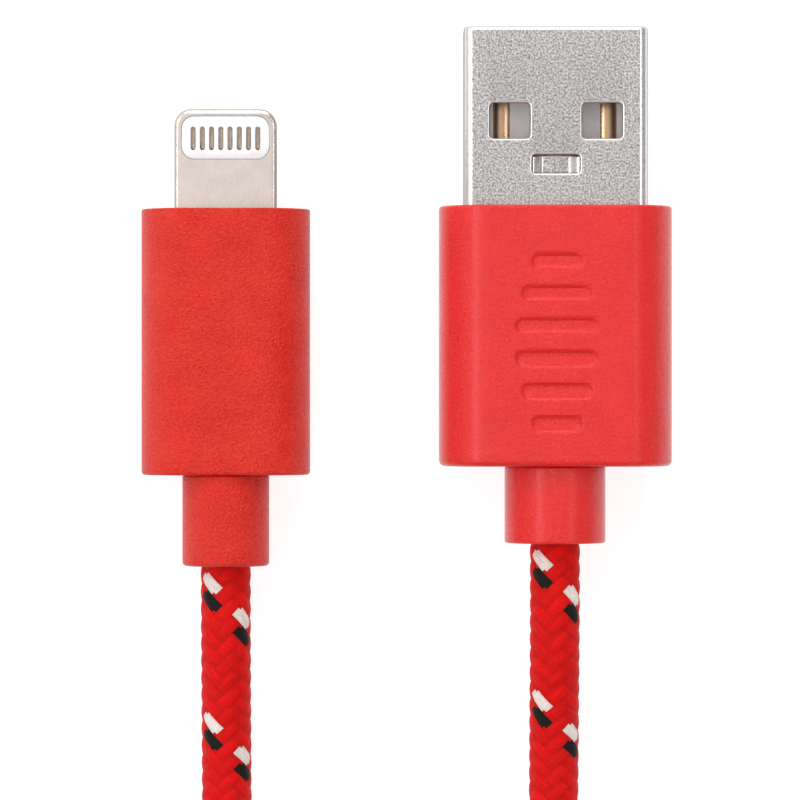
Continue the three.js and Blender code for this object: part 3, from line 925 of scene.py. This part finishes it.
def make_tie(material):
    """A flat hook-and-loop strap that holds the coil."""
    low, high = box_mm("cord_tie")
    line = tie_line()
    tangent = unit(np.gradient(line, axis=0))
    outside = np.column_stack([tangent[:, 1], -tangent[:, 0]])
    section = chamfered(TIE_WIDTH / 2, TIE_SHEET - TIE_PLAY, TIE_EDGE)
    rings = []
    for (y, z), (out_y, out_z) in zip(line, outside):
        rings.append(np.array([(across, y + out_y * up, z + out_z * up) for across, up in section]))
    origin = np.array([(low[0] + high[0]) / 2, (low[1] + high[1]) / 2, 0])
    return lofted(
        "cord_tie_strap", rings, origin, material,
        slot="black_webbing", replaces=("cord_tie",), angle=50,
    )


# Housings and collars

# The finger grip's grooves: their lengths, width, spacing, depth, soft edge and middle, in millimetres
GRIP_WIDTHS = [3.2, 4.5, 5.3, 5.3, 4.5, 3.2]
GRIP_BAR = 0.9
GRIP_PITCH = 2.1
GRIP_DEPTH = 0.2
GRIP_EDGE = 0.27
GRIP_MIDDLE = -8.9
# Each plug's housing section and the opening in front, each as width, height and corner radius, how
# much its front and rear edges are rounded, and the collar's section and edges
HOUSINGS = {
    "type_a": ((15.2, 8.0, 3.2), (12.06, 4.56, 0.6), (0.2, 0.38), (6.6, 6.2, 3.0), (0.1, 0.14)),
    "eight_pin": ((11.06, 6.4, 3.1), (6.76, 1.56, 0.3), (0.1, 0.24), (5.7, 5.7, 2.8), (0.1, 0.26)),
}
HOUSING_WALL = 1.0
SIDE_WALL = 0.8
NECK_RADIUS = 2.25
COLLAR_GAP = 0.03
BORE_PLAY = 0.12
BORE_EDGE = 0.12
# The steps across and along in a housing's mesh with the grip, in one without it and in a collar's
GRIP_STEPS = (0.14, 0.15)
PLAIN_STEPS = (0.3, 1.2)
COLLAR_STEPS = (0.22, 0.6)


def grip_depth(x, y):
    """How deep the finger grip is pressed in at a point of the housing's upper face."""
    depth = np.zeros_like(x)
    first = GRIP_MIDDLE + GRIP_PITCH * (len(GRIP_WIDTHS) - 1) / 2
    for index, width in enumerate(GRIP_WIDTHS):
        reach = (width - GRIP_BAR) / 2
        away = np.hypot(x - np.clip(x, -reach, reach), y - (first - GRIP_PITCH * index))
        depth = np.maximum(depth, smoothstep((GRIP_BAR / 2 + GRIP_EDGE / 2 - away) / GRIP_EDGE))
    return depth * GRIP_DEPTH


def hollow_body(name, section, opening, edges, length, grip, *placed, **how):
    """A moulded housing: rounded ends, an opening round the metal in front and one behind for the neck."""
    across, along = GRIP_STEPS if grip else PLAIN_STEPS
    pattern = {"section": section, "points": rounded_outline(*section, across)}
    outside = fillet_rings(section, pattern, 0, -length, edges, along)
    if grip:
        for ring in outside:
            top = ring[:, 2] > section[1] / 2 - 0.02
            ring[top, 2] -= grip_depth(ring[top, 0], ring[top, 1])
    neck = (2 * NECK_RADIUS, 2 * NECK_RADIUS, NECK_RADIUS - 0.01)
    front_hole = section_ring(opening, pattern, 0)
    back_hole = section_ring(neck, pattern, -length)
    inner = inset(section, SIDE_WALL)
    rings = [
        *outside, back_hole, back_hole + (0, HOUSING_WALL, 0),
        section_ring(inner, pattern, HOUSING_WALL - length), section_ring(inner, pattern, -HOUSING_WALL),
        front_hole - (0, HOUSING_WALL, 0), front_hole,
    ]
    return lofted(name, rings, *placed, closed=True, slot="red_vinyl", **how)


def collar(name, section, edges, front, rear, *placed, **how):
    """The strain relief behind a housing, with the cord's bore through it."""
    across, along = COLLAR_STEPS
    pattern = {"section": section, "points": rounded_outline(*section, across)}
    width = CORD_DIAMETER + BORE_PLAY
    bore = (width, width, CORD_DIAMETER / 2 + 0.05)
    rings = fillet_rings(section, pattern, front, rear, edges, along)
    rings += [
        section_ring(inset(bore, -BORE_EDGE), pattern, rear),
        section_ring(bore, pattern, rear + BORE_EDGE), section_ring(bore, pattern, front),
    ]
    return lofted(name, rings, *placed, closed=True, slot="red_vinyl", **how)


def make_housings(materials):
    """Both plugs' housings, then both collars."""
    for plug, (section, opening, edges, _, _) in HOUSINGS.items():
        origin, length, _ = plug_places(plug)
        hollow_body(
            f"{plug}_moulded_housing", section, opening, edges, length, plug == "type_a",
            origin, materials[f"{plug}_vinyl"], replaces=(f"{plug}_housing",),
        )
    for plug, (*_, section, edges) in HOUSINGS.items():
        origin, length, cord_exit = plug_places(plug)
        collar(
            f"{plug}_collar", section, edges, -length - COLLAR_GAP, cord_exit[1] - origin[1],
            origin, materials[f"{plug}_vinyl"], replaces=(f"{plug}_strain_relief",),
        )


# Metal of the type A plug

SHELL_SECTION = (12.0, 4.5, 0.64)
SHELL_SHEET = 0.3
SHELL_LIP = 0.25
SHELL_INNER_EDGE = (0.04, 0.05)
SHELL_RIM = 0.13
# Sections of the openings, and how far behind the front their middles are
WINDOW = (2.6, 2.3, 0.25)
WINDOW_SIDE = 3.0
WINDOW_BEHIND = 6.15
LATCH_SLOT = (3.1, 1.2, 0.2)
LATCH_SLOT_BEHIND = 8.95


def make_shell(blasted, polished):
    """The folded steel shell, with its rolled front edge, two windows on each face and the latch slot."""
    low, high = box_mm("type_a_shell")
    front, rear = high[1] - A_ORIGIN[1], low[1] - A_ORIGIN[1]
    pattern = {"section": SHELL_SECTION, "points": rounded_outline(*SHELL_SECTION, 0.1)}
    inside = inset(SHELL_SECTION, SHELL_SHEET)
    rings = [section_ring(SHELL_SECTION, pattern, rear)]
    for behind, pulled in quarter_round():
        ring = inset(SHELL_SECTION, SHELL_LIP * pulled)
        rings.append(section_ring(ring, pattern, front - SHELL_LIP * behind))
    rings += [
        section_ring(inset(SHELL_SECTION, SHELL_SHEET - SHELL_INNER_EDGE[0]), pattern, front),
        section_ring(inside, pattern, front - SHELL_INNER_EDGE[1]), section_ring(inside, pattern, rear),
    ]
    shell = lofted("type_a_metal_shell", rings, A_ORIGIN, blasted, closed=True,
                   slot="plated_shell", replaces=("type_a_shell",))
    high_face, low_face = SHELL_SECTION[1] / 2, -SHELL_SECTION[1] / 2
    tall = high_face + 1
    both, upper = [(high_face, 1), (low_face, -1)], [(high_face, 1)]
    cutters = []
    for x in (-WINDOW_SIDE, WINDOW_SIDE):
        middle = (x, front - WINDOW_BEHIND)
        cutters.append(hole_cutter(WINDOW, middle, -tall, tall, both, SHELL_RIM, A_ORIGIN))
    middle = (0, front - LATCH_SLOT_BEHIND)
    cutters.append(hole_cutter(LATCH_SLOT, middle, 0, tall, upper, SHELL_RIM, A_ORIGIN))
    cut_by(shell, *cutters)
    paint_by_tilt(shell, blasted, polished)


def paint_by_tilt(piece, flat_material, edge_material):
    """Flat upper and lower faces get one material and everything that turns away from them another."""
    mesh = piece.data
    mesh.materials.clear()
    mesh.materials.append(flat_material)
    mesh.materials.append(edge_material)
    for face in mesh.polygons:
        face.material_index = 0 if abs(face.normal.z) > 0.995 else 1
    smooth_shaded(mesh, 35)


LATCH = {
    "half_width": 1.5, "flat_half": 0.82, "below": 0.08, "drop": 0.42, "sheet": 0.22, "edge": 0.06,
    "length": 1.12, "behind": 9.0,
}


def make_latch_tab(blasted, polished):
    """The catch pressed down in the shell's latch slot: a flat middle with a slope up at each side."""
    front = box_mm("type_a_shell")[1][1] - A_ORIGIN[1]
    top = SHELL_SECTION[1] / 2 - LATCH["below"]
    middle = front - LATCH["behind"]
    profile = []
    for share in np.linspace(-1, 1, 33):
        x = share * LATCH["half_width"]
        slope = (abs(x) - LATCH["flat_half"]) / (LATCH["half_width"] - LATCH["flat_half"])
        profile.append((x, top - LATCH["drop"] * (1 - float(smoothstep(slope)))))
    section = chamfered(LATCH["length"] / 2, LATCH["sheet"], LATCH["edge"])
    rings = [np.array([(x, middle + y, z - down) for y, down in section]) for x, z in profile]
    tab = lofted("type_a_latch_tab", rings, A_ORIGIN, blasted, slot="plated_shell", angle=50)
    paint_by_tilt(tab, blasted, polished)


CONTACT_CROWN = 0.1
# A spring's front: how far behind its end, how far down and how much of its width
CONTACT_NOSE = [(0.5, 0, 1), (0.2, 0.009, 0.95), (0.05, 0.027, 0.85), (0, 0.042, 0.7)]


def make_contacts(material):
    """The four spring strips, crowned across their width and turned down at the front."""
    for number in range(1, 5):
        node = f"type_a_contact_{number}"
        low, high = box_mm(node)
        half, middle = (high[0] - low[0]) / 2, (high[0] + low[0]) / 2
        rings = []
        for behind, drop, share in ((high[1] - low[1], 0, 1), *CONTACT_NOSE):
            ring = []
            for across in np.arange(13) / 6 - 1:
                crown = CONTACT_CROWN * abs(across) ** 2.2
                ring.append((middle + across * half * share, high[1] - behind, high[2] - crown - drop))
            for across in (1, -1):
                ring.append((middle + across * half * share, high[1] - behind, low[2]))
            rings.append(np.array(ring))
        lofted(
            f"type_a_spring_{number}", rings, np.zeros(3), material,
            slot="brass_contact", replaces=(node,), angle=50,
        )


# The eight-contact blade

BLADE_CORNER = 1.1
BLADE_EDGE = 0.25
BLADE_TIP = 0.4
PAD = {"width": 0.28, "length": 1.5, "pitch": 0.605, "middle": 4.64, "count": 8}
INSERT = {"width": 5.8, "length": 2.86, "radius": 0.85, "middle": 4.69}
POCKET_PLAY = 0.05
POCKET_DEPTH = 0.2
BOARD_SLOT = {"half_width": 2.6, "half_height": 0.43, "front": 3.4}
NOTCH = {"section": (0.6, 1.0, 0.25), "middle": 3.4, "half_height": 0.3}


def blade_outline(half, front, rear, corner):
    """The blade from above: square behind and with two round corners in front."""
    points = [(-half, rear), (half, rear)]
    for quarter, x in ((0, half - corner), (1, corner - half)):
        for index in range(13):
            angle = math.pi / 2 * (quarter + index / 12)
            points.append((x + corner * math.cos(angle), front - corner + corner * math.sin(angle)))
    return np.array(points)


def make_blade(material):
    """The blade's metal frame: window for the insert, slot for the board and a notch on each side."""
    low, high = box_mm("eight_pin_blade_frame")
    half, thick = (high[0] - low[0]) / 2, (high[2] - low[2]) / 2
    front, rear = high[1] - E_ORIGIN[1], low[1] - E_ORIGIN[1]
    rings = []
    for side in (-1, 1):
        for share, down in quarter_round(6)[::-side]:
            pulled = BLADE_EDGE * share
            outline = blade_outline(
                half - pulled, front - BLADE_TIP * share, rear, BLADE_CORNER - pulled,
            )
            rings.append(level(outline, side * (thick - BLADE_EDGE * down)))
    blade = lofted(
        "eight_pin_metal_blade", rings, E_ORIGIN, material,
        slot="blade_metal", replaces=("eight_pin_blade_frame",),
    )
    window = rounded_outline(INSERT["width"], INSERT["length"], INSERT["radius"], 0.06)
    window += (0, INSERT["middle"])
    reach, tip, height = (BOARD_SLOT[key] for key in ("half_width", "front", "half_height"))
    slot = np.array([(-reach, rear - 1), (reach, rear - 1), (reach, tip), (-reach, tip)])
    cutters = [prism(window, -2, 2, E_ORIGIN), prism(slot, -height, height, E_ORIGIN)]
    for side in (-1, 1):
        outline = rounded_outline(*NOTCH["section"], 0.08) + (side * half, NOTCH["middle"])
        cutters.append(prism(outline, -NOTCH["half_height"], NOTCH["half_height"], E_ORIGIN))
    cut_by(blade, *cutters)
    smooth_shaded(blade.data, 30)


def pad_places():
    """The pads' middles across the blade."""
    return [(index - (PAD["count"] - 1) / 2) * PAD["pitch"] for index in range(PAD["count"])]


def make_insert(material):
    """The white insulator, with softened edges and a pocket for each pad."""
    thick = box_mm("eight_pin_insert")[1][2] - E_ORIGIN[2]
    width, length = INSERT["width"] - 0.01, INSERT["length"] - 0.01
    radius = INSERT["radius"] - 0.005
    edge = [(0, 0.07), (0.05, 0.015), (0.09, 0)]
    levels = [(down - thick, pulled) for down, pulled in edge]
    levels += [(thick - down, pulled) for down, pulled in reversed(edge)]
    rings = []
    for z, pulled in levels:
        outline = rounded_outline(width - 2 * pulled, length - 2 * pulled, radius - pulled, 0.07)
        outline += (0, INSERT["middle"])
        rings.append(level(outline, z))
    insert = lofted(
        "eight_pin_white_insert", rings, E_ORIGIN, material,
        slot="white_insert", replaces=("eight_pin_insert",), angle=50,
    )
    cutters = []
    for x in pad_places():
        width, length = PAD["width"] + POCKET_PLAY, PAD["length"] + POCKET_PLAY
        pocket = rounded_outline(width, length, PAD["width"] / 2 + 0.02, 0.05) + (x, PAD["middle"])
        cutters.append(prism(pocket, thick - POCKET_DEPTH, thick + 1, E_ORIGIN))
        cutters.append(prism(pocket, -thick - 1, -thick + POCKET_DEPTH, E_ORIGIN))
    cut_by(insert, *cutters)
    smooth_shaded(insert.data, 50)


def make_pads(material):
    """Eight gold-flashed pads on each face, a little below the insert's surface."""
    thick = box_mm("eight_pin_insert")[1][2] - E_ORIGIN[2]
    for number, x in enumerate(pad_places(), start=1):
        for face, side in (("upper", 1), ("lower", -1)):
            rings = []
            for depth, pulled in ((0.18, 0), (0.05, 0), (0.025, 0.01), (0.01, 0.04)):
                width, length = PAD["width"] - 2 * pulled, PAD["length"] - 2 * pulled
                outline = rounded_outline(width, length, PAD["width"] / 2 - pulled - 0.002, 0.04)
                outline += (x, PAD["middle"])
                rings.append(level(outline, side * (thick - depth)))
            lofted(
                f"eight_pin_pad_{face}_{number}", rings, E_ORIGIN, material,
                slot="gold_pad", replaces=(f"eight_pin_{face}_contact_{number}",), angle=40,
            )


# CAD pieces that stay as they are, with rounded edges and materials of their own

CAD_EDGE = 0.03


def dress_cad_nodes(materials):
    """Gives each CAD node that nothing replaces its slot's material and softened edges."""
    slots = {row["node"]: row["material_slot"] for row in frame["record"]["subparts"]}
    for node, slot in slots.items():
        piece = bpy.data.objects.get(node)
        if piece is None or piece.hide_render:
            continue
        piece.data.materials.clear()
        piece.data.materials.append(materials[slot])
        rounded = piece.modifiers.new("rounded", "BEVEL")
        rounded.width = CAD_EDGE * MM
        rounded.segments = 2
        rounded.limit_method = "ANGLE"
        rounded.angle_limit = math.radians(40)


# Colour, shade and roughness, and for metals what else differs from plastic
PLAIN = {
    "white_insert": ((252, 254, 254), (248, 251, 251), 0.35),
    # grey_plastic is painted near white, as painted light for the plastic seen deep in the shell's windows,
    # where little light reaches.
    "grey_plastic": ((250, 241, 240), (242, 231, 231), 0.5),
    "natural_plastic": ((222, 216, 198), (208, 200, 180), 0.5),
    "black_jacket": ((34, 34, 36), (24, 24, 26), 0.5),
    "wire_red": ((184, 30, 28), (168, 24, 24), 0.45),
    "wire_white": ((234, 233, 226), (224, 222, 212), 0.45),
    "wire_green": ((40, 140, 62), (32, 122, 52), 0.45),
    "wire_black": ((36, 36, 38), (26, 26, 28), 0.45),
    "circuit_board": ((34, 104, 62), (26, 86, 50), 0.4),
    "ceramic_part": ((192, 168, 138), (176, 150, 120), 0.5),
    "brass_contact": ((212, 180, 148), (196, 160, 126), 0.3, 1.0, 1.6, 1.6, 0.06, 0.25),
    "gold_pad": ((196, 178, 164), (172, 152, 136), 0.35, 1.0, 0.35, 0.35, 0.06, 0.25),
}
# Colour, shade, grain, roughness, relief and skin
VINYLS = {
    "type_a_vinyl": ((236, 35, 31), (219, 25, 21), 0.32, 0.18, 0.058, 0.35),
    "eight_pin_vinyl": ((240, 54, 35), (211, 26, 14), 0.28, 0.32, 0.105, 0.0),
    "red_vinyl": ((232, 40, 36), (220, 30, 26), 0.24, 0.4, 0.03, 0.0),
}


def make_materials():
    """Every material by its name, which for most is the record's slot."""
    made = {
        "plated_shell": blasted_plate(),
        "polished_plate": polished_plate(),
        "blade_metal": satin_blade(),
        "red_braid": braided_yarn(),
        "black_webbing": woven_strap(),
    }
    for table, maker in ((PLAIN, plain), (VINYLS, moulded_vinyl)):
        for name, (colour, shade, *rest) in table.items():
            made[name] = maker(name, linear(*colour), linear(*shade), *rest)
    return made


def make_floor():
    half = FLOOR_WIDTH / 2
    corners = [(-half, -half, 0), (half, -half, 0), (half, half, 0), (-half, half, 0)]
    mesh = new_mesh("floor", corners, [(0, 1, 2, 3)])
    mesh.materials.append(floor_paint())
    add_object("floor", mesh)


make_camera()
MATERIALS = make_materials()
CORD, ROUTE = make_cord(MATERIALS["red_braid"])
TIE = make_tie(MATERIALS["black_webbing"])
make_studio()
make_floor()
make_housings(MATERIALS)
make_shell(MATERIALS["plated_shell"], MATERIALS["polished_plate"])
make_latch_tab(MATERIALS["plated_shell"], MATERIALS["polished_plate"])
make_contacts(MATERIALS["brass_contact"])
make_blade(MATERIALS["blade_metal"])
make_insert(MATERIALS["white_insert"])
make_pads(MATERIALS["gold_pad"])
dress_cad_nodes(MATERIALS)
